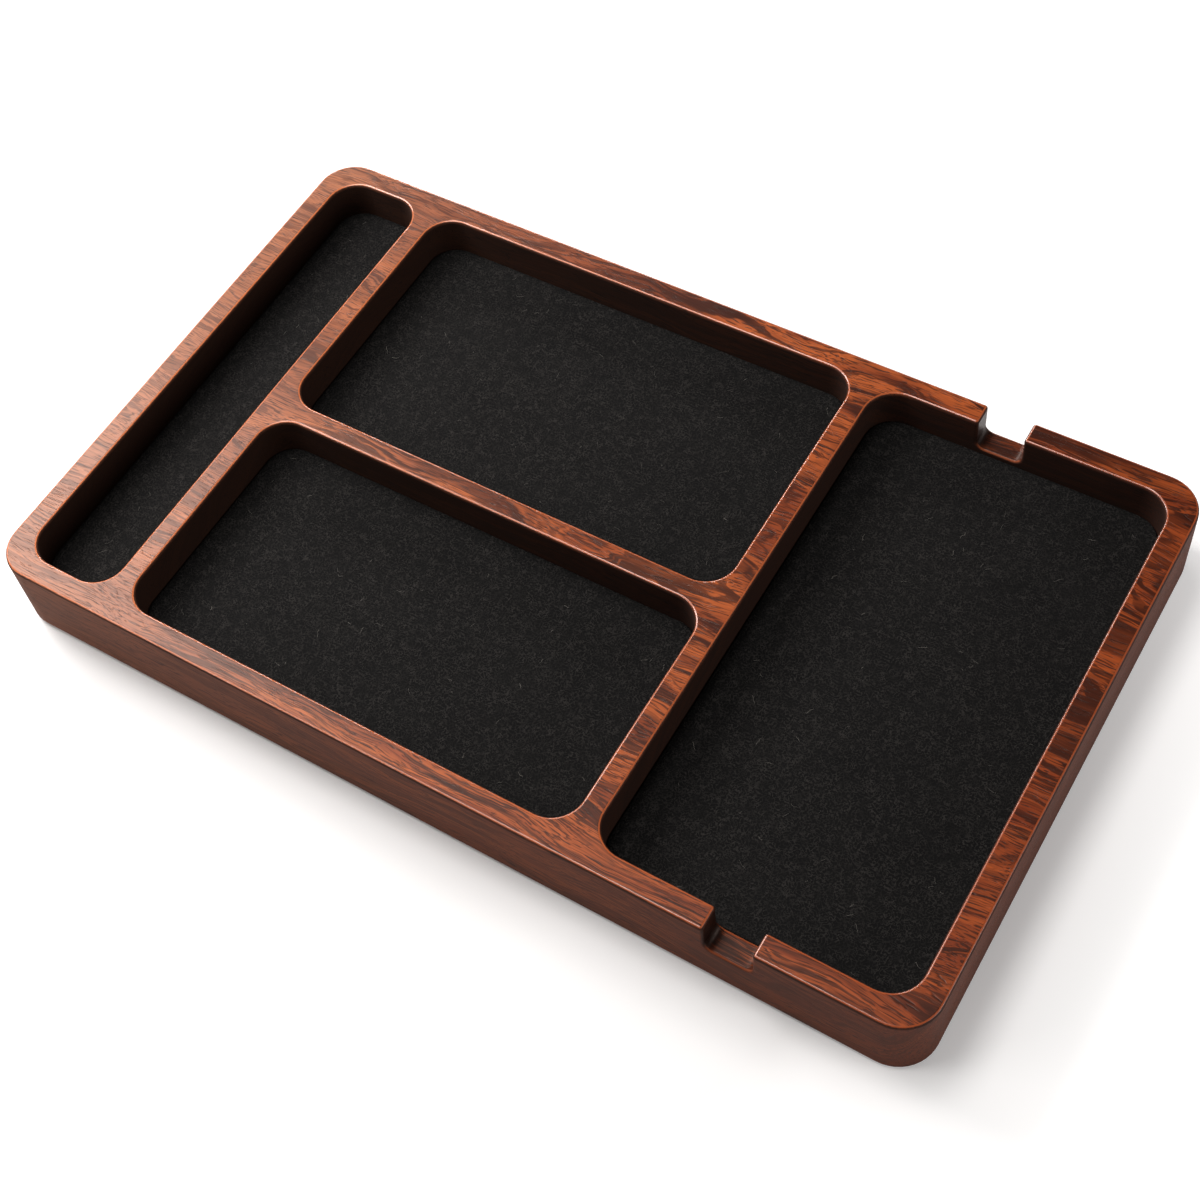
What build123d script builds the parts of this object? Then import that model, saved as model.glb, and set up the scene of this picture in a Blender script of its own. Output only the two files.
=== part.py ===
from build123d import *
import os

# Valet tray: one milled hardwood board with four lined wells and two cable notches, on four feet.
# Millimetres. The origin is on the table under the middle of the tray.
# +X runs along the long side and the grain, +Y to the back, +Z up.

# Board
TRAY_LENGTH = 320.0
TRAY_DEPTH = 195.0
BOARD_THICKNESS = 29.0
CORNER_RADIUS = 12.5
EDGE_ROUND = 1.0
BOTTOM_ROUND = 1.2

# Wells, milled from above
RIM_WIDTH = 8.0
DIVIDER_WIDTH = 7.5
SLOT_WIDTH = 32.5
BAY_WIDTH = 96.5
FRONT_WELL_DEPTH = 81.0
WELL_DROP = 15.5
WELL_CORNER_RADIUS = 10.0

# Cable notches through the front and back rims of the wide bay
NOTCH_WIDTH = 15.0
NOTCH_DROP = 12.0
NOTCH_CORNER_RADIUS = 3.0
FRONT_NOTCH_SHIFT = -0.5
BACK_NOTCH_SHIFT = -7.5

# Felt liners, cut to the outline of each well
LINER_THICKNESS = 2.0
LINER_GAP = 0.25

# Feet, bonded into recesses in the underside
FOOT_DIAMETER = 12.0
FOOT_THICKNESS = 2.6
FOOT_ROUND = 0.8
FOOT_RECESS = 1.6
FOOT_GAP = 0.25
FOOT_INSET = 24.0

# How far a cut runs past the surface that it opens
OVERRUN = 4.0
# How far a point may lie from a plane and still count as on it
ON_PLANE = 0.01

# Heights above the table
UNDERSIDE = FOOT_THICKNESS - FOOT_RECESS
RIM_TOP = UNDERSIDE + BOARD_THICKNESS
WELL_FLOOR = RIM_TOP - WELL_DROP
NOTCH_FLOOR = RIM_TOP - NOTCH_DROP

# Lines that the wells are set out from
OUTER_RIGHT = TRAY_LENGTH / 2
OUTER_BACK = TRAY_DEPTH / 2
WELL_RIGHT = OUTER_RIGHT - RIM_WIDTH
WELL_BACK = OUTER_BACK - RIM_WIDTH
SLOT_RIGHT = SLOT_WIDTH - WELL_RIGHT
BAY_LEFT = WELL_RIGHT - BAY_WIDTH
MIDDLE_LEFT = SLOT_RIGHT + DIVIDER_WIDTH
MIDDLE_RIGHT = BAY_LEFT - DIVIDER_WIDTH
FRONT_WELL_BACK = FRONT_WELL_DEPTH - WELL_BACK
BACK_WELL_FRONT = FRONT_WELL_BACK + DIVIDER_WIDTH
BAY_CENTRE = (BAY_LEFT + WELL_RIGHT) / 2

# Each well's left, right, front and back walls
WELLS = {
    "left_slot": (-WELL_RIGHT, SLOT_RIGHT, -WELL_BACK, WELL_BACK),
    "back_well": (MIDDLE_LEFT, MIDDLE_RIGHT, BACK_WELL_FRONT, WELL_BACK),
    "front_well": (MIDDLE_LEFT, MIDDLE_RIGHT, -WELL_BACK, FRONT_WELL_BACK),
    "wide_bay": (BAY_LEFT, WELL_RIGHT, -WELL_BACK, WELL_BACK),
}

# Each notch's centre along the rim, and the two faces of the rim that it opens
NOTCHES = (
    (BAY_CENTRE + FRONT_NOTCH_SHIFT, -OUTER_BACK, -WELL_BACK),
    (BAY_CENTRE + BACK_NOTCH_SHIFT, OUTER_BACK, WELL_BACK),
)

# Each foot's place on the underside
FOOT_X = OUTER_RIGHT - FOOT_INSET
FOOT_Y = OUTER_BACK - FOOT_INSET
FEET = {
    "front_left": (-FOOT_X, -FOOT_Y),
    "front_right": (FOOT_X, -FOOT_Y),
    "back_left": (-FOOT_X, FOOT_Y),
    "back_right": (FOOT_X, FOOT_Y),
}


def rounded_block(walls, radius, low, high):
    """An upright block inside four walls, with round corners, between two heights."""
    left, right, front, back = walls
    outline = RectangleRounded(right - left, back - front, radius)
    block = extrude(outline, amount=high - low)
    return Pos((left + right) / 2, (front + back) / 2, low) * block


def notch_cutter(centre, outer, inner):
    """The U-shaped bar that cuts one notch through the rim, open at the top."""
    low, high = sorted((outer, inner))
    height = NOTCH_DROP + OVERRUN
    reach = high - low + OVERRUN + OVERRUN
    bar = Box(NOTCH_WIDTH, reach, height, align=(Align.CENTER, Align.MIN, Align.MIN))
    floor_edges = bar.edges().filter_by(Axis.Y).group_by(Axis.Z)[0]
    bar = fillet(floor_edges, NOTCH_CORNER_RADIUS)
    return Pos(centre, low - OVERRUN, NOTCH_FLOOR) * bar


def notch_mouth_edges(body, centre, face):
    """The edges of one notch that lie in one face of the rim."""
    def in_mouth(edge):
        middle = edge.position_at(0.5)
        flat = all(abs(corner.Y - face) < ON_PLANE for corner in edge.vertices())
        beside = abs(middle.X - centre) < NOTCH_WIDTH / 2 + ON_PLANE
        above = middle.Z > NOTCH_FLOOR - ON_PLANE
        below = middle.Z < RIM_TOP - ON_PLANE
        return flat and beside and above and below
    return body.edges().filter_by(in_mouth)


def make_tray_body():
    """The milled board: rim, dividers and floor in one piece."""
    outer_walls = (-OUTER_RIGHT, OUTER_RIGHT, -OUTER_BACK, OUTER_BACK)
    body = rounded_block(outer_walls, CORNER_RADIUS, UNDERSIDE, RIM_TOP)
    body = fillet(body.edges().group_by(Axis.Z)[0], BOTTOM_ROUND)
    for walls in WELLS.values():
        body -= rounded_block(walls, WELL_CORNER_RADIUS, WELL_FLOOR, RIM_TOP + OVERRUN)
    for centre, outer, inner in NOTCHES:
        body -= notch_cutter(centre, outer, inner)
    eased = body.edges().group_by(Axis.Z)[-1]
    for centre, outer, inner in NOTCHES:
        eased += notch_mouth_edges(body, centre, outer)
        eased += notch_mouth_edges(body, centre, inner)
    body = fillet(eased, EDGE_ROUND)
    recess_radius = FOOT_DIAMETER / 2 + FOOT_GAP
    recess = extrude(Circle(recess_radius), amount=FOOT_RECESS + OVERRUN)
    for x, y in FEET.values():
        body -= Pos(x, y, UNDERSIDE - OVERRUN) * recess
    return body


def make_liner(walls):
    """A felt sheet on the floor of one well, a little smaller than the well."""
    left, right, front, back = walls
    cut = (left + LINER_GAP, right - LINER_GAP, front + LINER_GAP, back - LINER_GAP)
    corner = WELL_CORNER_RADIUS - LINER_GAP
    return rounded_block(cut, corner, WELL_FLOOR, WELL_FLOOR + LINER_THICKNESS)


def make_foot(x, y):
    """A round bumper with an eased tread, standing on the table."""
    foot = extrude(Circle(FOOT_DIAMETER / 2), amount=FOOT_THICKNESS)
    foot = fillet(foot.edges().group_by(Axis.Z)[0], FOOT_ROUND)
    return Pos(x, y, 0) * foot


pieces = {"tray_body": make_tray_body()}
for name, walls in WELLS.items():
    pieces[f"liner_{name}"] = make_liner(walls)
for name, place in FEET.items():
    pieces[f"foot_{name}"] = make_foot(*place)

os.makedirs("parts", exist_ok=True)
for name, solid in pieces.items():
    export_step(solid, f"parts/{name}.step")
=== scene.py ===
import bmesh
import bpy
import math
from mathutils import Matrix, Vector


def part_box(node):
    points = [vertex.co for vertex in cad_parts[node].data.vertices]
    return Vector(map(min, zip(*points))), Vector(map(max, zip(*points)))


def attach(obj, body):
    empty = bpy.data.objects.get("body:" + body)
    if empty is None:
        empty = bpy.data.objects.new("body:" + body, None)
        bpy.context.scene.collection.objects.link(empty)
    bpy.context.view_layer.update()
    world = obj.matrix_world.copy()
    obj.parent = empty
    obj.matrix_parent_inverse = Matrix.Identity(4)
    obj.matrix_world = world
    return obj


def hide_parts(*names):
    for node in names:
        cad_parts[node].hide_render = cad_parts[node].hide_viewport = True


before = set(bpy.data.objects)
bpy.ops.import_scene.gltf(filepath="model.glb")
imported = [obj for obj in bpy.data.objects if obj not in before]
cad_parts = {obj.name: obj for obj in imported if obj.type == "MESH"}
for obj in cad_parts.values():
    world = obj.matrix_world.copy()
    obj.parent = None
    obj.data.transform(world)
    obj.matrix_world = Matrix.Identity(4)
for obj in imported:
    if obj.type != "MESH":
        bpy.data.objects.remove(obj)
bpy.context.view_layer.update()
MM = 0.001

# Tray body
# One board of oiled walnut, planed, milled from above and sanded, with every top edge rounded over.
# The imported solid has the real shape, so it stays and only gets its finish. The grain runs along X.


def add(tree, kind, inputs=None, **settings):
    """Adds one node: settings are its properties, inputs its values or the sockets that feed it."""
    made = tree.nodes.new(kind)
    for name, value in settings.items():
        setattr(made, name, value)
    for name, value in (inputs or {}).items():
        if isinstance(value, bpy.types.NodeSocket):
            tree.links.new(value, made.inputs[name])
        else:
            made.inputs[name].default_value = value
    return made


def linear(code):
    """The linear colour of an sRGB hex value."""
    parts = [int(code[i:i + 2], 16) / 255 for i in (1, 3, 5)]
    bent = [c / 12.92 if c <= 0.04045 else ((c + 0.055) / 1.055) ** 2.4 for c in parts]
    return (*bent, 1.0)


def new_material(name):
    """An empty node material, its tree and its output."""
    material = bpy.data.materials.new(name)
    material.use_nodes = True
    tree = material.node_tree
    tree.nodes.clear()
    return material, tree, tree.nodes.new("ShaderNodeOutputMaterial")


def colour_stops(ramp_node, stops):
    """Gives a Color Ramp its stops, as (place, hex colour) or (place, grey level)."""
    elements = ramp_node.color_ramp.elements
    while len(elements) < len(stops):
        elements.new(0.5)
    for element, (place, tone) in zip(elements, stops):
        element.position = place
        element.color = linear(tone) if isinstance(tone, str) else (tone, tone, tone, 1.0)


# Oiled walnut, flat-sawn: its rings run round a pith below the board. Dark late wood bands and lines wander
# along the grain, with short hairs and a fine fibre between them, and open pores as short dark dashes.
# The fibre and the pores are finer in real walnut, and are drawn as coarse as they need to show.
WALNUT_EARLY = "#BE6434"
WALNUT_MID = "#914525"
WALNUT_PALE = "#8C5A40"
WALNUT_LATE = "#4C2215"
WALNUT_STREAK = "#3E1D14"
PITH = (0.0, 30 * MM, -70 * MM)
WANDER_LENGTH, WANDER_WIDTH, WANDER_REACH = 95 * MM, 30 * MM, 10 * MM
RIPPLE_LENGTH, RIPPLE_WIDTH, RIPPLE_REACH = 15 * MM, 5 * MM, 1.0 * MM
RING_LENGTH, RING_WIDTH = 150 * MM, 4.5 * MM
BAND_LENGTH, BAND_WIDTH = 75 * MM, 4.2 * MM
LINE_LENGTH, LINE_WIDTH = 48 * MM, 1.05 * MM
HAIR_LENGTH, HAIR_WIDTH = 14 * MM, 0.55 * MM
CLUSTER_LENGTH, CLUSTER_WIDTH = 45 * MM, 9 * MM
FIBRE_LENGTH, FIBRE_WIDTH = 24 * MM, 0.40 * MM
PORE_LENGTH, PORE_WIDTH = 9.0 * MM, 0.34 * MM

# What each layer does from the low to the high values of its noise: its colours, or how strong it is. The
# lines also tear the edges of the bands, and the clusters thin the lines out.
RING_TONES = [(0.40, WALNUT_MID), (0.60, WALNUT_EARLY)]
BAND_TEAR = 0.4
BAND_MASK = [(0.57, 0.92), (0.68, 0.0)]
LINE_MASK = [(0.42, 0.9), (0.48, 0.0)]
HAIR_MASK = [(0.38, 0.8), (0.47, 0.0)]
CLUSTER_LOW, CLUSTER_HIGH, CLUSTER_FAINTEST = 0.38, 0.58, 0.35
FIBRE_LOW, FIBRE_HIGH = 0.3, 0.7
FIBRE_DARKEST, FIBRE_PALEST = 0.78, 1.22

# How ruddy the wood is and how deep its bands and marks are, from the left end of the board to the right.
# The paler, plainer left end is partly the wood's own tone and partly painted sheen.
RUDDINESS = [(0.0, 0.25), (0.5, 1.0)]
BAND_DEPTH = [(0.0, 0.25), (0.5, 1.0), (0.88, 1.0), (0.97, 0.35)]
MARK_DEPTH = [(0.0, 0.82), (0.4, 1.0)]

# The board lies centred in the frame, so its highest corner gives half its length, half its depth and the
# height of its rim.
half_length, half_depth, rim_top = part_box("tray_body")[1]

walnut, tree, output = new_material("oiled_walnut")
place = add(tree, "ShaderNodeTexCoord").outputs["Object"]


def grain_noise(tree, vector, length, width, detail, dimensions="3D"):
    """Noise whose blobs are length along the grain and width across it, in metres."""
    stretched = add(tree, "ShaderNodeMapping", {
        "Vector": vector,
        "Scale": (1 / length, 1 / width, 1 / width),
    })
    return add(tree, "ShaderNodeTexNoise", {
        "Vector": stretched.outputs["Vector"],
        "Scale": 1.0,
        "Detail": detail,
        "Roughness": 0.55,
    }, noise_dimensions=dimensions)


def shifted(tree, vector, noise, reach):
    """The vector pushed across the grain by a noise, at most reach to either side."""
    centred = add(tree, "ShaderNodeVectorMath", {
        0: noise.outputs["Color"],
        1: (0.5, 0.5, 0.5),
    }, operation="SUBTRACT")
    push = add(tree, "ShaderNodeVectorMath", {
        0: centred.outputs["Vector"],
        1: (0.0, reach * 2, reach * 2),
    }, operation="MULTIPLY")
    moved = add(tree, "ShaderNodeVectorMath", {0: vector, 1: push.outputs["Vector"]}, operation="ADD")
    return moved.outputs["Vector"]


wander = grain_noise(tree, place, WANDER_LENGTH, WANDER_WIDTH, detail=2.0)
ripple = grain_noise(tree, place, RIPPLE_LENGTH, RIPPLE_WIDTH, detail=2.0)
bent = shifted(tree, shifted(tree, place, wander, WANDER_REACH), ripple, RIPPLE_REACH)
from_pith = add(tree, "ShaderNodeVectorMath", {0: bent, 1: PITH}, operation="SUBTRACT")
across = add(tree, "ShaderNodeVectorMath", {
    0: from_pith.outputs["Vector"],
    1: (0.0, 1.0, 1.0),
}, operation="MULTIPLY")
radius = add(tree, "ShaderNodeVectorMath", {0: across.outputs["Vector"]}, operation="LENGTH")
along = add(tree, "ShaderNodeSeparateXYZ", {"Vector": bent})
ring_place = add(tree, "ShaderNodeCombineXYZ", {
    "X": along.outputs["X"],
    "Y": radius.outputs["Value"],
}).outputs["Vector"]
rings = grain_noise(tree, ring_place, RING_LENGTH, RING_WIDTH, detail=3.0, dimensions="2D")
bands = grain_noise(tree, ring_place, BAND_LENGTH, BAND_WIDTH, detail=3.0, dimensions="2D")
lines = grain_noise(tree, ring_place, LINE_LENGTH, LINE_WIDTH, detail=2.0, dimensions="2D")
hairs = grain_noise(tree, bent, HAIR_LENGTH, HAIR_WIDTH, detail=1.0)
clusters = grain_noise(tree, place, CLUSTER_LENGTH, CLUSTER_WIDTH, detail=2.0)
fibres = grain_noise(tree, bent, FIBRE_LENGTH, FIBRE_WIDTH, detail=3.0)
pores = grain_noise(tree, bent, PORE_LENGTH, PORE_WIDTH, detail=0.0)

tone = add(tree, "ShaderNodeValToRGB", {"Fac": rings.outputs["Fac"]})
colour_stops(tone, RING_TONES)
end_to_end = add(tree, "ShaderNodeMapRange", {
    "Value": along.outputs["X"],
    "From Min": -half_length,
    "From Max": half_length,
})
ruddiness = add(tree, "ShaderNodeValToRGB", {"Fac": end_to_end.outputs["Result"]})
colour_stops(ruddiness, RUDDINESS)
# Towards the left end the tone is mixed into a paler one, partly the wood's own and partly painted sheen.
evened = add(tree, "ShaderNodeMix", {
    "Factor": ruddiness.outputs["Color"],
    "A": linear(WALNUT_PALE),
    "B": tone.outputs["Color"],
}, data_type="RGBA")

torn = add(tree, "ShaderNodeMath", {
    0: lines.outputs["Fac"],
    1: BAND_TEAR,
    2: bands.outputs["Fac"],
}, operation="MULTIPLY_ADD")
band_mask = add(tree, "ShaderNodeValToRGB", {"Fac": torn.outputs["Value"]})
colour_stops(band_mask, BAND_MASK)
band_depth = add(tree, "ShaderNodeValToRGB", {"Fac": end_to_end.outputs["Result"]})
colour_stops(band_depth, BAND_DEPTH)
band_strength = add(tree, "ShaderNodeMath", {
    0: band_mask.outputs["Color"],
    1: band_depth.outputs["Color"],
}, operation="MULTIPLY")
banded = add(tree, "ShaderNodeMix", {
    "Factor": band_strength.outputs["Value"],
    "A": evened.outputs["Result"],
    "B": linear(WALNUT_LATE),
}, data_type="RGBA")

line_mask = add(tree, "ShaderNodeValToRGB", {"Fac": lines.outputs["Fac"]})
colour_stops(line_mask, LINE_MASK)
hair_mask = add(tree, "ShaderNodeValToRGB", {"Fac": hairs.outputs["Fac"]})
colour_stops(hair_mask, HAIR_MASK)
gathered = add(tree, "ShaderNodeMapRange", {
    "Value": clusters.outputs["Fac"],
    "From Min": CLUSTER_LOW,
    "From Max": CLUSTER_HIGH,
    "To Min": CLUSTER_FAINTEST,
})
drawn = add(tree, "ShaderNodeMath", {
    0: line_mask.outputs["Color"],
    1: gathered.outputs["Result"],
}, operation="MULTIPLY")
marked = add(tree, "ShaderNodeMath", {
    0: drawn.outputs["Value"],
    1: hair_mask.outputs["Color"],
}, operation="MAXIMUM")
mark_depth = add(tree, "ShaderNodeValToRGB", {"Fac": end_to_end.outputs["Result"]})
colour_stops(mark_depth, MARK_DEPTH)
mark_strength = add(tree, "ShaderNodeMath", {
    0: marked.outputs["Value"],
    1: mark_depth.outputs["Color"],
}, operation="MULTIPLY")
streaked = add(tree, "ShaderNodeMix", {
    "Factor": mark_strength.outputs["Value"],
    "A": banded.outputs["Result"],
    "B": linear(WALNUT_STREAK),
}, data_type="RGBA")
fibre_tone = add(tree, "ShaderNodeMapRange", {
    "Value": fibres.outputs["Fac"],
    "From Min": FIBRE_LOW,
    "From Max": FIBRE_HIGH,
    "To Min": FIBRE_DARKEST,
    "To Max": FIBRE_PALEST,
})
fibred = add(tree, "ShaderNodeVectorMath", {
    0: streaked.outputs["Result"],
    "Scale": fibre_tone.outputs["Result"],
}, operation="SCALE")

# The upright faces are sanded along the edge of the board and look plainer, and the two ends, cut across
# the grain, the most so. Open pores show on every face.
WALNUT_SIDE = "#5E3320"
WALNUT_PORE = "#2F1712"
SIDE_PLAINNESS, END_PLAINNESS = 0.74, 0.84
SIDE_STEEPNESS = [(0.5, SIDE_PLAINNESS), (0.9, 0.0)]
PORE_MASK = [(0.64, 0.0), (0.72, 0.75)]

facing = add(tree, "ShaderNodeNewGeometry")
upward = add(tree, "ShaderNodeSeparateXYZ", {"Vector": facing.outputs["Normal"]})
upright = add(tree, "ShaderNodeValToRGB", {"Fac": upward.outputs["Z"]})
colour_stops(upright, SIDE_STEEPNESS)
endways = add(tree, "ShaderNodeMath", {0: upward.outputs["X"]}, operation="ABSOLUTE")
end_grain = add(tree, "ShaderNodeMath", {
    0: endways.outputs["Value"],
    1: END_PLAINNESS,
}, operation="MULTIPLY")
plainness = add(tree, "ShaderNodeMath", {
    0: upright.outputs["Color"],
    1: end_grain.outputs["Value"],
}, operation="MAXIMUM")
plainer = add(tree, "ShaderNodeMix", {
    "Factor": plainness.outputs["Value"],
    "A": fibred.outputs["Vector"],
    "B": linear(WALNUT_SIDE),
}, data_type="RGBA")
pore_mask = add(tree, "ShaderNodeValToRGB", {"Fac": pores.outputs["Fac"]})
colour_stops(pore_mask, PORE_MASK)
pored = add(tree, "ShaderNodeMix", {
    "Factor": pore_mask.outputs["Color"],
    "A": plainer.outputs["Result"],
    "B": linear(WALNUT_PORE),
}, data_type="RGBA")

# Two lines are painted on the round-over at the rim: a pale painted highlight near the top of its curve and
# a darker painted shade under it. Their stops run from the foot of the curve to the flat of the rim.
WALNUT_HIGHLIGHT = "#D4713E"
EDGE_ROUND = 1.0 * MM
UNDER_EDGE_SHADE_STOPS = [(0.0, 1.0), (0.05, 0.4), (0.68, 0.4), (0.80, 1.0)]
RIM_HIGHLIGHT_STOPS = [(0.76, 0.0), (0.83, 0.85), (0.97, 0.85), (0.993, 0.0)]

spot = add(tree, "ShaderNodeSeparateXYZ", {"Vector": place})
up_the_round = add(tree, "ShaderNodeMapRange", {
    "Value": spot.outputs["Z"],
    "From Min": rim_top - EDGE_ROUND,
    "From Max": rim_top,
})
# The darker line under the rim's curve is painted shade.
painted_edge_shade = add(tree, "ShaderNodeValToRGB", {"Fac": up_the_round.outputs["Result"]})
colour_stops(painted_edge_shade, UNDER_EDGE_SHADE_STOPS)
edge_shaded = add(tree, "ShaderNodeVectorMath", {
    0: pored.outputs["Result"],
    "Scale": painted_edge_shade.outputs["Color"],
}, operation="SCALE")
painted_rim_highlight = add(tree, "ShaderNodeValToRGB", {"Fac": up_the_round.outputs["Result"]})
colour_stops(painted_rim_highlight, RIM_HIGHLIGHT_STOPS)

# Below the rim, shade is painted into the colour: the walls of the wells get the darkest painted shade, and
# in the two notches the wall that faces right, away from the key lamp, gets more than the rest. The front
# and the back are alike there, so a place is told by how far it lies from the long axis. A tilt is how far a
# surface's normal leans towards up or right.
WALL_SHADE, NOTCH_SHADE = 0.20, 0.85
WALL_TILT, NOTCH_WALL_TILT = 0.7, 0.8
WALL_MARGIN, FACE_MARGIN = 0.5 * MM, 0.1 * MM
NOTCHES_LEFT, NOTCHES_RIGHT = 88 * MM, 112 * MM

wells_low = Vector(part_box("liner_left_slot")[0])
wells_high = Vector(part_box("liner_wide_bay")[1])
lowest, highest = wells_low.z - WALL_MARGIN, rim_top - EDGE_ROUND
past_wells = wells_high.y + WALL_MARGIN
rim_face = half_depth - FACE_MARGIN
off_axis = add(tree, "ShaderNodeMath", {0: spot.outputs["Y"]}, operation="ABSOLUTE")
mirrored = (spot.outputs["X"], off_axis.outputs["Value"], spot.outputs["Z"])


def inside(tree, point, low, high):
    """One inside the block between two corners, nought outside it."""
    within = 1.0
    for coordinate, near, far in zip(point, low, high):
        reached = add(tree, "ShaderNodeMath", {
            0: coordinate,
            1: (near + far) / 2,
            2: (far - near) / 2,
        }, operation="COMPARE")
        both = add(tree, "ShaderNodeMath", {0: reached.outputs["Value"], 1: within}, operation="MULTIPLY")
        within = both.outputs["Value"]
    return within


in_wells = inside(
    tree,
    mirrored,
    (wells_low.x - WALL_MARGIN, 0.0, lowest),
    (wells_high.x + WALL_MARGIN, past_wells, highest),
)
in_notches = inside(
    tree,
    mirrored,
    (NOTCHES_LEFT, past_wells, lowest),
    (NOTCHES_RIGHT, rim_face, highest),
)
steep = add(tree, "ShaderNodeMapRange", {
    "Value": upward.outputs["Z"],
    "From Min": WALL_TILT,
    "From Max": 0.0,
})
well_wall = add(tree, "ShaderNodeMath", {0: in_wells, 1: steep.outputs["Result"]}, operation="MULTIPLY")
painted_wall_shade = add(tree, "ShaderNodeMapRange", {
    "Value": well_wall.outputs["Value"],
    "To Min": 1.0,
    "To Max": WALL_SHADE,
})
notch_wall_shade_level = add(tree, "ShaderNodeMapRange", {
    "Value": upward.outputs["X"],
    "From Max": NOTCH_WALL_TILT,
    "To Min": NOTCH_SHADE,
    "To Max": WALL_SHADE,
})
painted_notch_shade = add(tree, "ShaderNodeMapRange", {
    "Value": in_notches,
    "To Min": 1.0,
    "To Max": notch_wall_shade_level.outputs["Result"],
})
shade = add(tree, "ShaderNodeMath", {
    0: painted_wall_shade.outputs["Result"],
    1: painted_notch_shade.outputs["Result"],
}, operation="MULTIPLY")
# The painted shade darkens the colour in the wells and the notches.
recess_shaded = add(tree, "ShaderNodeVectorMath", {
    0: edge_shaded.outputs["Vector"],
    "Scale": shade.outputs["Value"],
}, operation="SCALE")

# The mouths of the notches are eased too, on both faces of the rim, and a pale painted highlight lies on
# them where they face up.
LINER_GAP = 0.25 * MM
MOUTH_LINE, MOUTH_HIGHLIGHT_STRENGTH = 0.6 * MM, 0.55
MOUTH_STEEPEST, MOUTH_LEVEL = 0.3, 0.7

well_face = wells_high.y + LINER_GAP
mouths = []
for near, far in (
    (well_face + FACE_MARGIN, well_face + MOUTH_LINE),
    (half_depth - MOUTH_LINE, rim_face),
):
    mouths.append(inside(tree, mirrored, (NOTCHES_LEFT, near, lowest), (NOTCHES_RIGHT, far, highest)))
in_mouths = add(tree, "ShaderNodeMath", {0: mouths[0], 1: mouths[1]}, operation="ADD")
faces_up = add(tree, "ShaderNodeMapRange", {
    "Value": upward.outputs["Z"],
    "From Min": MOUTH_STEEPEST,
    "From Max": MOUTH_LEVEL,
    "To Max": MOUTH_HIGHLIGHT_STRENGTH,
})
# A painted highlight on the upward faces of the notch mouths.
painted_mouth_highlight = add(tree, "ShaderNodeMath", {
    0: in_mouths.outputs["Value"],
    1: faces_up.outputs["Result"],
}, operation="MULTIPLY")
# The pale lines on the rim and on the notch mouths are painted highlights.
painted_edge_highlight = add(tree, "ShaderNodeMath", {
    0: painted_rim_highlight.outputs["Color"],
    1: painted_mouth_highlight.outputs["Value"],
}, operation="MAXIMUM")
highlighted = add(tree, "ShaderNodeMix", {
    "Factor": painted_edge_highlight.outputs["Value"],
    "A": recess_shaded.outputs["Vector"],
    "B": linear(WALNUT_HIGHLIGHT),
}, data_type="RGBA")

# The board is painted darker and redder from its left end to its right end: a painted falloff of the light
# from the lamps at the left.
LIT_LEFT_END = "#F4F6FA"
SHADED_RIGHT_END = "#C8B09C"

painted_light_falloff = add(tree, "ShaderNodeMix", {
    "Factor": end_to_end.outputs["Result"],
    "A": linear(LIT_LEFT_END),
    "B": linear(SHADED_RIGHT_END),
}, data_type="RGBA")
finished = add(tree, "ShaderNodeVectorMath", {
    0: highlighted.outputs["Result"],
    1: painted_light_falloff.outputs["Result"],
}, operation="MULTIPLY")

# A hand-rubbed oil leaves the top satin, the cutter the notches nearly so, and the sanded sides stay matt.
# The painted highlight line on the round-over has a thin, smooth coat.
WALNUT_IOR = 1.46
WALNUT_SPECULAR = 0.42
WALNUT_SHEEN = "#FFE4D6"
WALNUT_ROUGHNESS = 0.34
WALNUT_SIDE_ROUGHNESS = 1.0
NOTCH_ROUGHNESS = 0.42
EDGE_COAT_ROUGHNESS = 0.22
EDGE_COAT_IOR = 1.65
PORE_DEPTH = 0.10 * MM
FIBRE_RELIEF = 0.2
WALNUT_BUMP = 0.5

coarse = add(tree, "ShaderNodeMapRange", {
    "Value": upright.outputs["Color"],
    "To Min": WALNUT_ROUGHNESS,
    "To Max": WALNUT_SIDE_ROUGHNESS,
})
inside_mouths = add(tree, "ShaderNodeMath", {
    0: in_notches,
    1: in_mouths.outputs["Value"],
}, operation="SUBTRACT")
roughness = add(tree, "ShaderNodeMapRange", {
    "Value": inside_mouths.outputs["Value"],
    "To Min": coarse.outputs["Result"],
    "To Max": NOTCH_ROUGHNESS,
})
relief = add(tree, "ShaderNodeMath", {0: fibres.outputs["Fac"], 1: FIBRE_RELIEF}, operation="MULTIPLY")
height = add(tree, "ShaderNodeMath", {
    0: relief.outputs["Value"],
    1: pore_mask.outputs["Color"],
}, operation="SUBTRACT")
bump = add(tree, "ShaderNodeBump", {
    "Strength": WALNUT_BUMP,
    "Distance": PORE_DEPTH,
    "Height": height.outputs["Value"],
})
wood = add(tree, "ShaderNodeBsdfPrincipled", {
    "Base Color": finished.outputs["Vector"],
    "Roughness": roughness.outputs["Result"],
    "IOR": WALNUT_IOR,
    "Specular IOR Level": WALNUT_SPECULAR,
    "Specular Tint": linear(WALNUT_SHEEN),
    "Coat Weight": painted_rim_highlight.outputs["Color"],
    "Coat Roughness": EDGE_COAT_ROUGHNESS,
    "Coat IOR": EDGE_COAT_IOR,
    "Normal": bump.outputs["Normal"],
})
tree.links.new(wood.outputs["BSDF"], output.inputs["Surface"])
for material_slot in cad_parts["tray_body"].material_slots:
    material_slot.material = walnut

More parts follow.
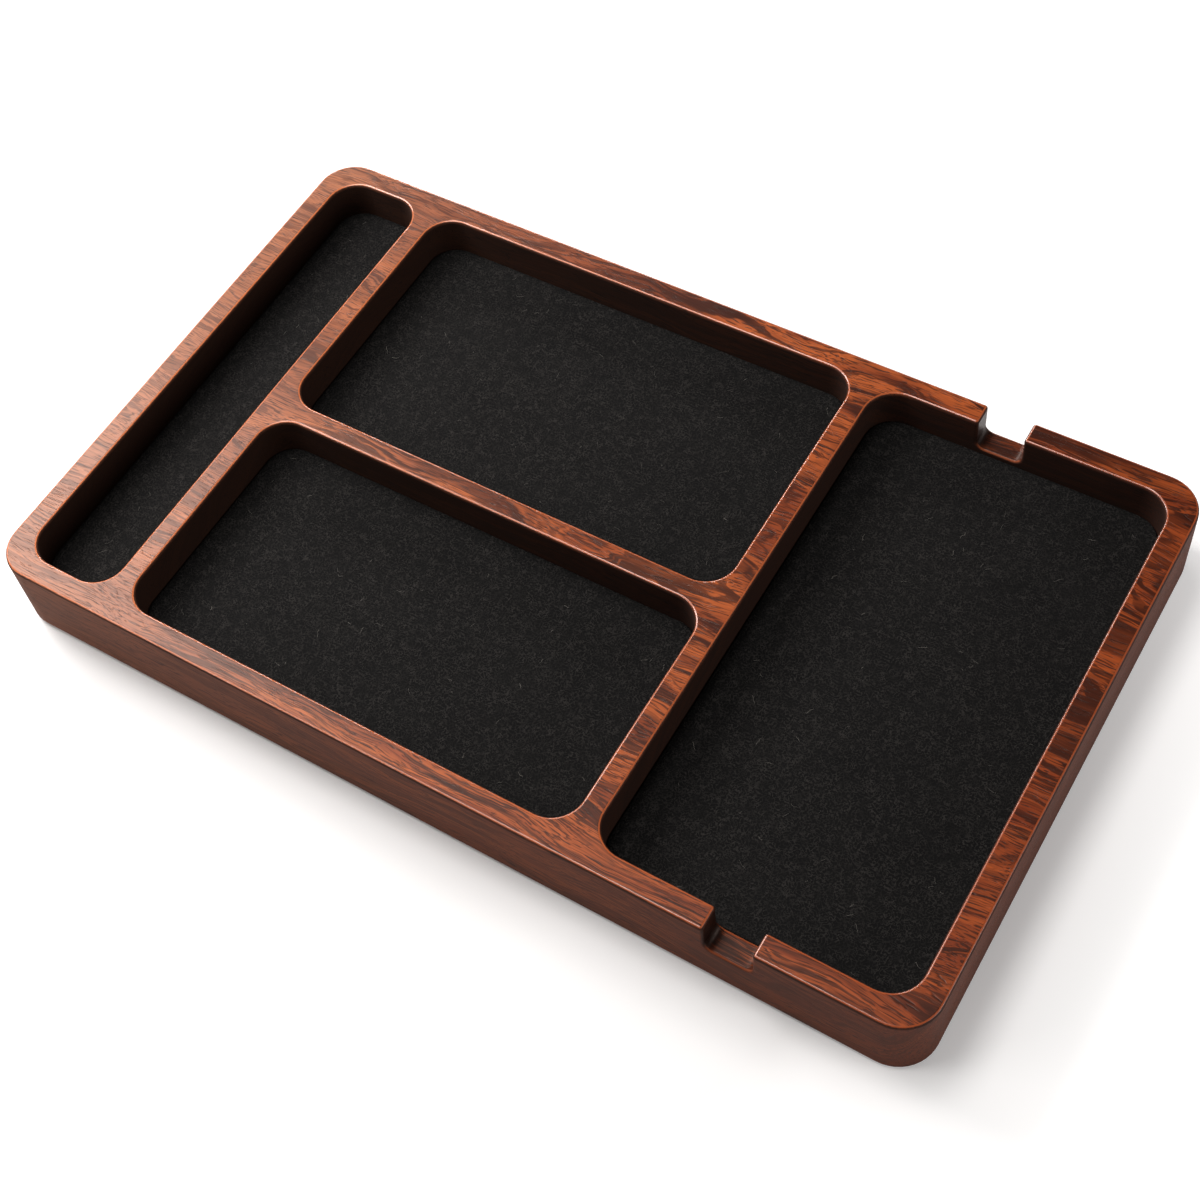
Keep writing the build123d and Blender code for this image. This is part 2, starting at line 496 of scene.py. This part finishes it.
# Felt liners
# Needled black wool felt, knife-cut to each well and bonded to its floor. The cut edge is square with a
# soft top, and lies a hair away from the wall.
WELL_CORNER = 10 * MM
FELT_CORNER = WELL_CORNER - LINER_GAP
FELT_EDGE_ROUND = 0.5 * MM
CORNER_STEPS = 12
EDGE_STEPS = 4

# Needled felt: matt and nearly black, a little mottled, with paler curled fibres that gather in tufts. Wool
# is finer, and its fibres are drawn as thick as they need to show.
FELT_GROUND = "#0A0909"
FELT_BODY = "#121110"
FELT_FIBRE = "#2D2A28"
FELT_ROUGHNESS = 0.95
FELT_SPECULAR = 0.12
MOTTLE_SIZE = 14 * MM
TUFT_SIZE = 2.2 * MM
TUFT_LOW, TUFT_HIGH, TUFT_THINNEST = 0.35, 0.65, 0.3
CURL_SIZE = 1.1 * MM
CURL_THICKNESS = 0.07
NAP_DEPTH = 0.15 * MM
FELT_BUMP = 0.7

felt, tree, output = new_material("needled_felt")
place = add(tree, "ShaderNodeTexCoord").outputs["Object"]

# A curled fibre lies wherever a noise of its size crosses its middle.
curling = add(tree, "ShaderNodeTexNoise", {
    "Vector": place,
    "Scale": 1 / CURL_SIZE,
    "Detail": 1.5,
    "Roughness": 0.6,
})
from_middle = add(tree, "ShaderNodeMath", {0: curling.outputs["Fac"], 1: 0.5}, operation="SUBTRACT")
off_curl = add(tree, "ShaderNodeMath", {0: from_middle.outputs["Value"]}, operation="ABSOLUTE")
curls = add(tree, "ShaderNodeMapRange", {
    "Value": off_curl.outputs["Value"],
    "From Max": CURL_THICKNESS,
    "To Min": 1.0,
    "To Max": 0.0,
})
tufts = add(tree, "ShaderNodeTexNoise", {"Vector": place, "Scale": 1 / TUFT_SIZE, "Detail": 2.0})
tufted = add(tree, "ShaderNodeMapRange", {
    "Value": tufts.outputs["Fac"],
    "From Min": TUFT_LOW,
    "From Max": TUFT_HIGH,
    "To Min": TUFT_THINNEST,
})
fibre_mask = add(tree, "ShaderNodeMath", {
    0: curls.outputs["Result"],
    1: tufted.outputs["Result"],
}, operation="MULTIPLY")
mottle = add(tree, "ShaderNodeTexNoise", {"Vector": place, "Scale": 1 / MOTTLE_SIZE, "Detail": 3.0})
ground = add(tree, "ShaderNodeMix", {
    "Factor": mottle.outputs["Fac"],
    "A": linear(FELT_GROUND),
    "B": linear(FELT_BODY),
}, data_type="RGBA")
felt_tone = add(tree, "ShaderNodeMix", {
    "Factor": fibre_mask.outputs["Value"],
    "A": ground.outputs["Result"],
    "B": linear(FELT_FIBRE),
}, data_type="RGBA")
nap = add(tree, "ShaderNodeMath", {
    0: fibre_mask.outputs["Value"],
    1: tufts.outputs["Fac"],
}, operation="ADD")
felt_bump = add(tree, "ShaderNodeBump", {
    "Strength": FELT_BUMP,
    "Distance": NAP_DEPTH,
    "Height": nap.outputs["Value"],
})
wool = add(tree, "ShaderNodeBsdfPrincipled", {
    "Base Color": felt_tone.outputs["Result"],
    "Roughness": FELT_ROUGHNESS,
    "Specular IOR Level": FELT_SPECULAR,
    "Normal": felt_bump.outputs["Normal"],
})
tree.links.new(wool.outputs["BSDF"], output.inputs["Surface"])


def rounded_outline(low, high, corner, inset):
    """The points of a rectangle with round corners, drawn in by inset."""
    turn = corner - inset
    points = []
    for quarter, (x, y) in enumerate((
        (high.x - corner, high.y - corner),
        (low.x + corner, high.y - corner),
        (low.x + corner, low.y + corner),
        (high.x - corner, low.y + corner),
    )):
        for step in range(CORNER_STEPS + 1):
            angle = math.radians(90 * (quarter + step / CORNER_STEPS))
            points.append((x + turn * math.cos(angle), y + turn * math.sin(angle)))
    return points


def mesh_piece(name, shape, material):
    """A new object at the origin with the mesh and one material."""
    mesh = bpy.data.meshes.new(name)
    shape.to_mesh(mesh)
    shape.free()
    mesh.materials.append(material)
    piece = bpy.data.objects.new(name, mesh)
    bpy.context.scene.collection.objects.link(piece)
    return piece


def felt_sheet(node):
    """A felt sheet of the node's size, with a softened upper edge."""
    low, high = map(Vector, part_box(node))
    profile = [(0.0, low.z), (0.0, high.z - FELT_EDGE_ROUND)]
    for step in range(1, EDGE_STEPS + 1):
        angle = math.radians(90 * step / EDGE_STEPS)
        inset = FELT_EDGE_ROUND * (1 - math.cos(angle))
        profile.append((inset, high.z - FELT_EDGE_ROUND * (1 - math.sin(angle))))
    shape = bmesh.new()
    loops = []
    for inset, z in profile:
        outline = rounded_outline(low, high, FELT_CORNER, inset)
        loops.append([shape.verts.new((x, y, z)) for x, y in outline])
    for lower, upper in zip(loops, loops[1:]):
        for i, corner in enumerate(lower):
            after = (i + 1) % len(lower)
            side = shape.faces.new((corner, lower[after], upper[after], upper[i]))
            side.smooth = True
    shape.faces.new(loops[-1])
    shape.faces.new(list(reversed(loops[0])))
    return mesh_piece(node.replace("liner", "felt"), shape, felt)


# A few loose pale fibres and specks lie on each liner. Geometry Nodes strew them over a patch a little
# smaller than the liner, turn and bend each one, and give it its thickness, a little more than real wool's.
LINT_WHITE = "#827C75"
LINT_TONES = [(0.40, FELT_FIBRE), (0.55, LINT_WHITE)]
LINT_LENGTH = 2.8 * MM
LINT_SHORTEST_SHARE = 0.12
LINT_RADIUS = 0.030 * MM
LINT_BEND = 1.0 * MM
LINT_WAVE = 2.2 * MM
LINT_PER_SQUARE_METRE = 6000.0
LINT_POINTS = 10
LINT_SIDES = 5
LINT_SEEDS = {"liner_left_slot": 3, "liner_back_well": 11, "liner_front_well": 6, "liner_wide_bay": 8}

lint, tree, output = new_material("loose_wool")
place = add(tree, "ShaderNodeTexCoord").outputs["Object"]
greyness = add(tree, "ShaderNodeTexNoise", {"Vector": place, "Scale": 1 / MOTTLE_SIZE, "Detail": 2.0})
lint_tone = add(tree, "ShaderNodeValToRGB", {"Fac": greyness.outputs["Fac"]})
colour_stops(lint_tone, LINT_TONES)
strand = add(tree, "ShaderNodeBsdfPrincipled", {
    "Base Color": lint_tone.outputs["Color"],
    "Roughness": FELT_ROUGHNESS,
    "Specular IOR Level": FELT_SPECULAR,
})
tree.links.new(strand.outputs["BSDF"], output.inputs["Surface"])

strewn = bpy.data.node_groups.new("strewn_fibres", "GeometryNodeTree")
strewn.interface.new_socket("Patch", in_out="INPUT", socket_type="NodeSocketGeometry")
strewn_inputs = {}
for name, kind in (
    ("Per square metre", "NodeSocketFloat"),
    ("Length", "NodeSocketFloat"),
    ("Radius", "NodeSocketFloat"),
    ("Bend", "NodeSocketFloat"),
    ("Seed", "NodeSocketInt"),
):
    strewn_inputs[name] = strewn.interface.new_socket(name, in_out="INPUT", socket_type=kind).identifier
strewn.interface.new_socket("Fibres", in_out="OUTPUT", socket_type="NodeSocketGeometry")
given = strewn.nodes.new("NodeGroupInput").outputs
scattered = add(strewn, "GeometryNodeDistributePointsOnFaces", {
    "Mesh": given["Patch"],
    "Density": given["Per square metre"],
    "Seed": given["Seed"],
})
ends = []
for half in (-0.5, 0.5):
    end = add(strewn, "ShaderNodeVectorMath", {0: (half, 0, 0), "Scale": given["Length"]}, operation="SCALE")
    ends.append(end.outputs["Vector"])
straight = add(strewn, "GeometryNodeCurvePrimitiveLine", {"Start": ends[0], "End": ends[1]})
pointed = add(strewn, "GeometryNodeResampleCurve", {
    "Curve": straight.outputs["Curve"],
    "Count": LINT_POINTS,
})

# Random Value takes the limits of a vector at its sockets 0 and 1, and those of a plain number at 2 and 3.
heading = add(strewn, "FunctionNodeRandomValue", {
    0: (0, 0, 0),
    1: (0, 0, math.tau),
    "Seed": given["Seed"],
}, data_type="FLOAT_VECTOR")
share = add(strewn, "FunctionNodeRandomValue", {
    2: LINT_SHORTEST_SHARE,
    3: 1.0,
    "Seed": given["Seed"],
}, data_type="FLOAT")
laid = add(strewn, "GeometryNodeInstanceOnPoints", {
    "Points": scattered.outputs["Points"],
    "Instance": pointed.outputs["Curve"],
    "Rotation": heading.outputs[0],
    "Scale": share.outputs[1],
})
each_fibre = add(strewn, "GeometryNodeRealizeInstances", {"Geometry": laid.outputs["Instances"]})

# The noise reaches half to either side of its middle. Twice that, kept level, pushes a fibre sideways by up
# to the whole bend.
here = add(strewn, "GeometryNodeInputPosition")
wave = add(strewn, "ShaderNodeTexNoise", {"Vector": here.outputs["Position"], "Scale": 1 / LINT_WAVE})
off_middle = add(strewn, "ShaderNodeVectorMath", {
    0: wave.outputs["Color"],
    1: (0.5, 0.5, 0.5),
}, operation="SUBTRACT")
level_only = add(strewn, "ShaderNodeVectorMath", {
    0: off_middle.outputs["Vector"],
    1: (2.0, 2.0, 0.0),
}, operation="MULTIPLY")
offset = add(strewn, "ShaderNodeVectorMath", {
    0: level_only.outputs["Vector"],
    "Scale": given["Bend"],
}, operation="SCALE")
bent_fibre = add(strewn, "GeometryNodeSetPosition", {
    "Geometry": each_fibre.outputs["Geometry"],
    "Offset": offset.outputs["Vector"],
})
ring = add(strewn, "GeometryNodeCurvePrimitiveCircle", {
    "Resolution": LINT_SIDES,
    "Radius": given["Radius"],
})
thick = add(strewn, "GeometryNodeCurveToMesh", {
    "Curve": bent_fibre.outputs["Geometry"],
    "Profile Curve": ring.outputs["Curve"],
    "Fill Caps": True,
})
coloured = add(strewn, "GeometryNodeSetMaterial", {"Geometry": thick.outputs["Mesh"], "Material": lint})
strewn.links.new(coloured.outputs["Geometry"], strewn.nodes.new("NodeGroupOutput").inputs["Fibres"])


def as_plain_mesh(piece, node_group, values):
    """Runs the node group on the piece with its inputs set, and keeps the result as the piece's mesh."""
    modifier = piece.modifiers.new(node_group.name, "NODES")
    modifier.node_group = node_group
    for identifier, value in values.items():
        modifier[identifier] = value
    evaluated = piece.evaluated_get(bpy.context.evaluated_depsgraph_get())
    result = bpy.data.meshes.new_from_object(evaluated)
    piece.modifiers.clear()
    piece.data = result


def loose_fibres(node, seed):
    """The loose fibres that lie on one liner."""
    low, high = map(Vector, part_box(node))
    margin = LINT_LENGTH / 2 + LINT_BEND
    left, right, front, back = low.x + margin, high.x - margin, low.y + margin, high.y - margin
    patch = bmesh.new()
    outline = ((left, front), (right, front), (right, back), (left, back))
    patch.faces.new([patch.verts.new((x, y, high.z + LINT_RADIUS)) for x, y in outline])
    piece = mesh_piece(node.replace("liner", "lint"), patch, lint)
    as_plain_mesh(piece, strewn, {
        strewn_inputs["Per square metre"]: LINT_PER_SQUARE_METRE,
        strewn_inputs["Length"]: LINT_LENGTH,
        strewn_inputs["Radius"]: LINT_RADIUS,
        strewn_inputs["Bend"]: LINT_BEND,
        strewn_inputs["Seed"]: seed,
    })
    return piece


for node, seed in LINT_SEEDS.items():
    liner = felt_sheet(node)
    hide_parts(node)
    strays = loose_fibres(node, seed)
    for piece in (liner, strays):
        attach(piece, "root")

# Feet
# Four moulded silicone bumpers with a rounded tread, each bonded into a shallow recess underneath. One is
# spun about its own axis, and Geometry Nodes set it at the four corners of a rectangle.
FEET = ("foot_front_left", "foot_front_right", "foot_back_left", "foot_back_right")
FOOT_ROUND = 0.8 * MM
ROUND_STEPS = 6
TURN_STEPS = 64

# Moulded silicone: dark grey and satin, with a faint speckle from the mould. On a real foot that is finer,
# and here it is drawn as coarse as it needs to show.
SILICONE_GREY = "#292A2B"
SILICONE_WORN = "#3A3B3C"
SILICONE_SPECK = 0.35 * MM
SILICONE_IOR = 1.41
SILICONE_SMOOTHEST, SILICONE_ROUGHEST = 0.45, 0.65
MOULD_DEPTH = 0.03 * MM
MOULD_BUMP = 0.3

silicone, tree, output = new_material("moulded_silicone")
place = add(tree, "ShaderNodeTexCoord").outputs["Object"]
specks = add(tree, "ShaderNodeTexNoise", {"Vector": place, "Scale": 1 / SILICONE_SPECK, "Detail": 2.0})
rubbed = add(tree, "ShaderNodeMix", {
    "Factor": specks.outputs["Fac"],
    "A": linear(SILICONE_GREY),
    "B": linear(SILICONE_WORN),
}, data_type="RGBA")
satin = add(tree, "ShaderNodeMapRange", {
    "Value": specks.outputs["Fac"],
    "To Min": SILICONE_SMOOTHEST,
    "To Max": SILICONE_ROUGHEST,
})
mould_bump = add(tree, "ShaderNodeBump", {
    "Strength": MOULD_BUMP,
    "Distance": MOULD_DEPTH,
    "Height": specks.outputs["Fac"],
})
rubber = add(tree, "ShaderNodeBsdfPrincipled", {
    "Base Color": rubbed.outputs["Result"],
    "Roughness": satin.outputs["Result"],
    "IOR": SILICONE_IOR,
    "Normal": mould_bump.outputs["Normal"],
})
tree.links.new(rubber.outputs["BSDF"], output.inputs["Surface"])

corners = bpy.data.node_groups.new("four_corners", "GeometryNodeTree")
corners.interface.new_socket("Foot", in_out="INPUT", socket_type="NodeSocketGeometry")
corner_inputs = {}
for name in ("Along", "Across"):
    socket = corners.interface.new_socket(name, in_out="INPUT", socket_type="NodeSocketFloat")
    corner_inputs[name] = socket.identifier
corners.interface.new_socket("Feet", in_out="OUTPUT", socket_type="NodeSocketGeometry")
given = corners.nodes.new("NodeGroupInput").outputs
rectangle = add(corners, "GeometryNodeMeshGrid", {
    "Size X": given["Along"],
    "Size Y": given["Across"],
    "Vertices X": 2,
    "Vertices Y": 2,
})
set_down = add(corners, "GeometryNodeInstanceOnPoints", {
    "Points": rectangle.outputs["Mesh"],
    "Instance": given["Foot"],
})
all_four = add(corners, "GeometryNodeRealizeInstances", {"Geometry": set_down.outputs["Instances"]})
moulded = add(corners, "GeometryNodeSetMaterial", {
    "Geometry": all_four.outputs["Geometry"],
    "Material": silicone,
})
corners.links.new(moulded.outputs["Geometry"], corners.nodes.new("NodeGroupOutput").inputs["Feet"])

foot_low, foot_high = map(Vector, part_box("foot_front_left"))
far_low = Vector(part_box("foot_back_right")[0])
foot_radius = (foot_high.x - foot_low.x) / 2
profile = [(foot_radius, foot_high.z)]
for step in range(ROUND_STEPS + 1):
    angle = math.radians(90 * step / ROUND_STEPS)
    reach = foot_radius - FOOT_ROUND + FOOT_ROUND * math.cos(angle)
    profile.append((reach, foot_low.z + FOOT_ROUND - FOOT_ROUND * math.sin(angle)))
foot_shape = bmesh.new()
turned = []
for reach, z in profile:
    circle = []
    for step in range(TURN_STEPS):
        angle = math.tau * step / TURN_STEPS
        circle.append(foot_shape.verts.new((reach * math.cos(angle), reach * math.sin(angle), z)))
    turned.append(circle)
for upper, lower in zip(turned, turned[1:]):
    for step, corner in enumerate(upper):
        after = (step + 1) % TURN_STEPS
        wall = foot_shape.faces.new((lower[step], lower[after], upper[after], corner))
        wall.smooth = True
foot_shape.faces.new(turned[0])
foot_shape.faces.new(list(reversed(turned[-1])))
feet = mesh_piece("silicone_feet", foot_shape, silicone)
as_plain_mesh(feet, corners, {
    corner_inputs["Along"]: far_low.x - foot_low.x,
    corner_inputs["Across"]: far_low.y - foot_low.y,
})
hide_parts(*FEET)
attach(feet, "root")

# Table
# A seamless white paper. Only what the eye or a mirror sees of it is lifted to white, so the light on the
# tray stays plain, and the lift grows with the distance in metres, so the tray keeps its shadow.
TABLE_WHITE = "#F3F0EE"
TABLE_ROUGHNESS = 0.8
TABLE_SPECULAR = 0.1
TABLE_REACH = 4.0
TABLE_LIFT = [(0.09, 0.05), (0.12, 0.10), (0.18, 0.10), (0.27, 0.50), (0.45, 0.8), (0.90, 1.0)]
LIFT_MIDDLE = (-0.05, -0.05, 0.0)
WHITE = (1.0, 1.0, 1.0, 1.0)

paper, tree, output = new_material("seamless_paper")
surface = add(tree, "ShaderNodeBsdfPrincipled", {
    "Base Color": linear(TABLE_WHITE),
    "Roughness": TABLE_ROUGHNESS,
    "Specular IOR Level": TABLE_SPECULAR,
})
ray = add(tree, "ShaderNodeLightPath")
seen_or_mirrored = add(tree, "ShaderNodeMath", {
    0: ray.outputs["Is Camera Ray"],
    1: ray.outputs["Is Glossy Ray"],
}, operation="MAXIMUM")
seen = add(tree, "ShaderNodeMath", {
    0: seen_or_mirrored.outputs["Value"],
    1: ray.outputs["Is Transmission Ray"],
}, operation="MAXIMUM")
place = add(tree, "ShaderNodeTexCoord").outputs["Object"]
distance = add(tree, "ShaderNodeVectorMath", {0: place, 1: LIFT_MIDDLE}, operation="DISTANCE")
lift_here = add(tree, "ShaderNodeValToRGB", {"Fac": distance.outputs["Value"]})
colour_stops(lift_here, TABLE_LIFT)
lift = add(tree, "ShaderNodeMath", {
    0: seen.outputs["Value"],
    1: lift_here.outputs["Color"],
}, operation="MULTIPLY")
glow = add(tree, "ShaderNodeEmission", {"Color": WHITE, "Strength": lift.outputs["Value"]})
lifted = add(tree, "ShaderNodeAddShader", {0: surface.outputs["BSDF"], 1: glow.outputs["Emission"]})
tree.links.new(lifted.outputs["Shader"], output.inputs["Surface"])
sheet_shape = bmesh.new()
bmesh.ops.create_grid(sheet_shape, x_segments=1, y_segments=1, size=TABLE_REACH)
table = mesh_piece("table", sheet_shape, paper)

# Light
# A key lamp off the left end, a broad soft one high overhead, a narrow strip in front at the left, a low
# fill at the right, a narrow lamp behind at the left for the rims, and a faint room. The room is white to
# the camera only: the tray has no metal or glass to show it, and it would bleach the satin wood.
# Each lamp has its name, its place and size in metres, and its power in watts.
LAMPS = (
    ("key", (-0.43, 0.04, 0.40), (0.28, 0.28), 3.2),
    ("overhead", (-0.34, -0.10, 1.46), (0.70, 0.50), 10.8),
    ("strip", (-0.48, -0.52, 0.62), (0.35, 0.06), 1.2),
    ("fill", (0.85, 0.05, 0.26), (0.50, 0.30), 2.2),
    ("rim", (-0.60, 0.66, 0.36), (0.50, 0.06), 3.0),
)
ROOM_LEVEL = 0.08


def soft_box(name, place, size, power):
    """A rectangular area lamp that faces the tray, its first size level and its second across that."""
    data = bpy.data.lights.new(name, "AREA")
    data.shape = "RECTANGLE"
    data.size, data.size_y = size
    data.energy = power
    lamp = bpy.data.objects.new(name, data)
    lamp.matrix_world = Matrix.Translation(place) @ place.to_track_quat("Z", "Y").to_matrix().to_4x4()
    bpy.context.scene.collection.objects.link(lamp)


for name, place, size, power in LAMPS:
    soft_box(name, Vector(place), size, power)

world = bpy.data.worlds.new("room")
bpy.context.scene.world = world
world.use_nodes = True
tree = world.node_tree
tree.nodes.clear()
ray = add(tree, "ShaderNodeLightPath")
level = add(tree, "ShaderNodeMapRange", {"Value": ray.outputs["Is Camera Ray"], "To Min": ROOM_LEVEL})
room = add(tree, "ShaderNodeBackground", {"Color": WHITE, "Strength": level.outputs["Result"]})
room_output = tree.nodes.new("ShaderNodeOutputWorld")
tree.links.new(room.outputs["Background"], room_output.inputs["Surface"])

# Camera
# From the right and in front, well above, as the photograph was taken. The values were fitted to the edges
# of the tray that it shows.
VIEW_AZIMUTH = math.radians(40.802)
VIEW_ELEVATION = math.radians(54.99)
VIEW_ROLL = math.radians(-10.921)
VIEW_DISTANCE = 618.1 * MM
VIEW_TARGET = Vector((-15.87, -2.55, 15.0)) * MM
SENSOR_WIDTH = 36.0
LENS_LENGTH = 59.061
SHIFT_SHARE = 0.05

towards = Vector((
    math.sin(VIEW_AZIMUTH) * math.cos(VIEW_ELEVATION),
    -math.cos(VIEW_AZIMUTH) * math.cos(VIEW_ELEVATION),
    math.sin(VIEW_ELEVATION),
))
level_right = Vector((0, 0, 1)).cross(towards).normalized()
level_up = towards.cross(level_right)
right = level_right * math.cos(VIEW_ROLL) + level_up * math.sin(VIEW_ROLL)
up = level_up * math.cos(VIEW_ROLL) - level_right * math.sin(VIEW_ROLL)
turn = Matrix((right, up, towards)).transposed().to_4x4()
camera_data = bpy.data.cameras.new("camera")
camera_data.sensor_width = SENSOR_WIDTH
camera_data.lens = LENS_LENGTH
camera_data.shift_x = SHIFT_SHARE
camera_data.shift_y = -SHIFT_SHARE
camera = bpy.data.objects.new("camera", camera_data)
camera.matrix_world = Matrix.Translation(VIEW_TARGET + towards * VIEW_DISTANCE) @ turn
bpy.context.scene.collection.objects.link(camera)
bpy.context.scene.camera = camera
bpy.context.scene.view_settings.view_transform = "Standard"
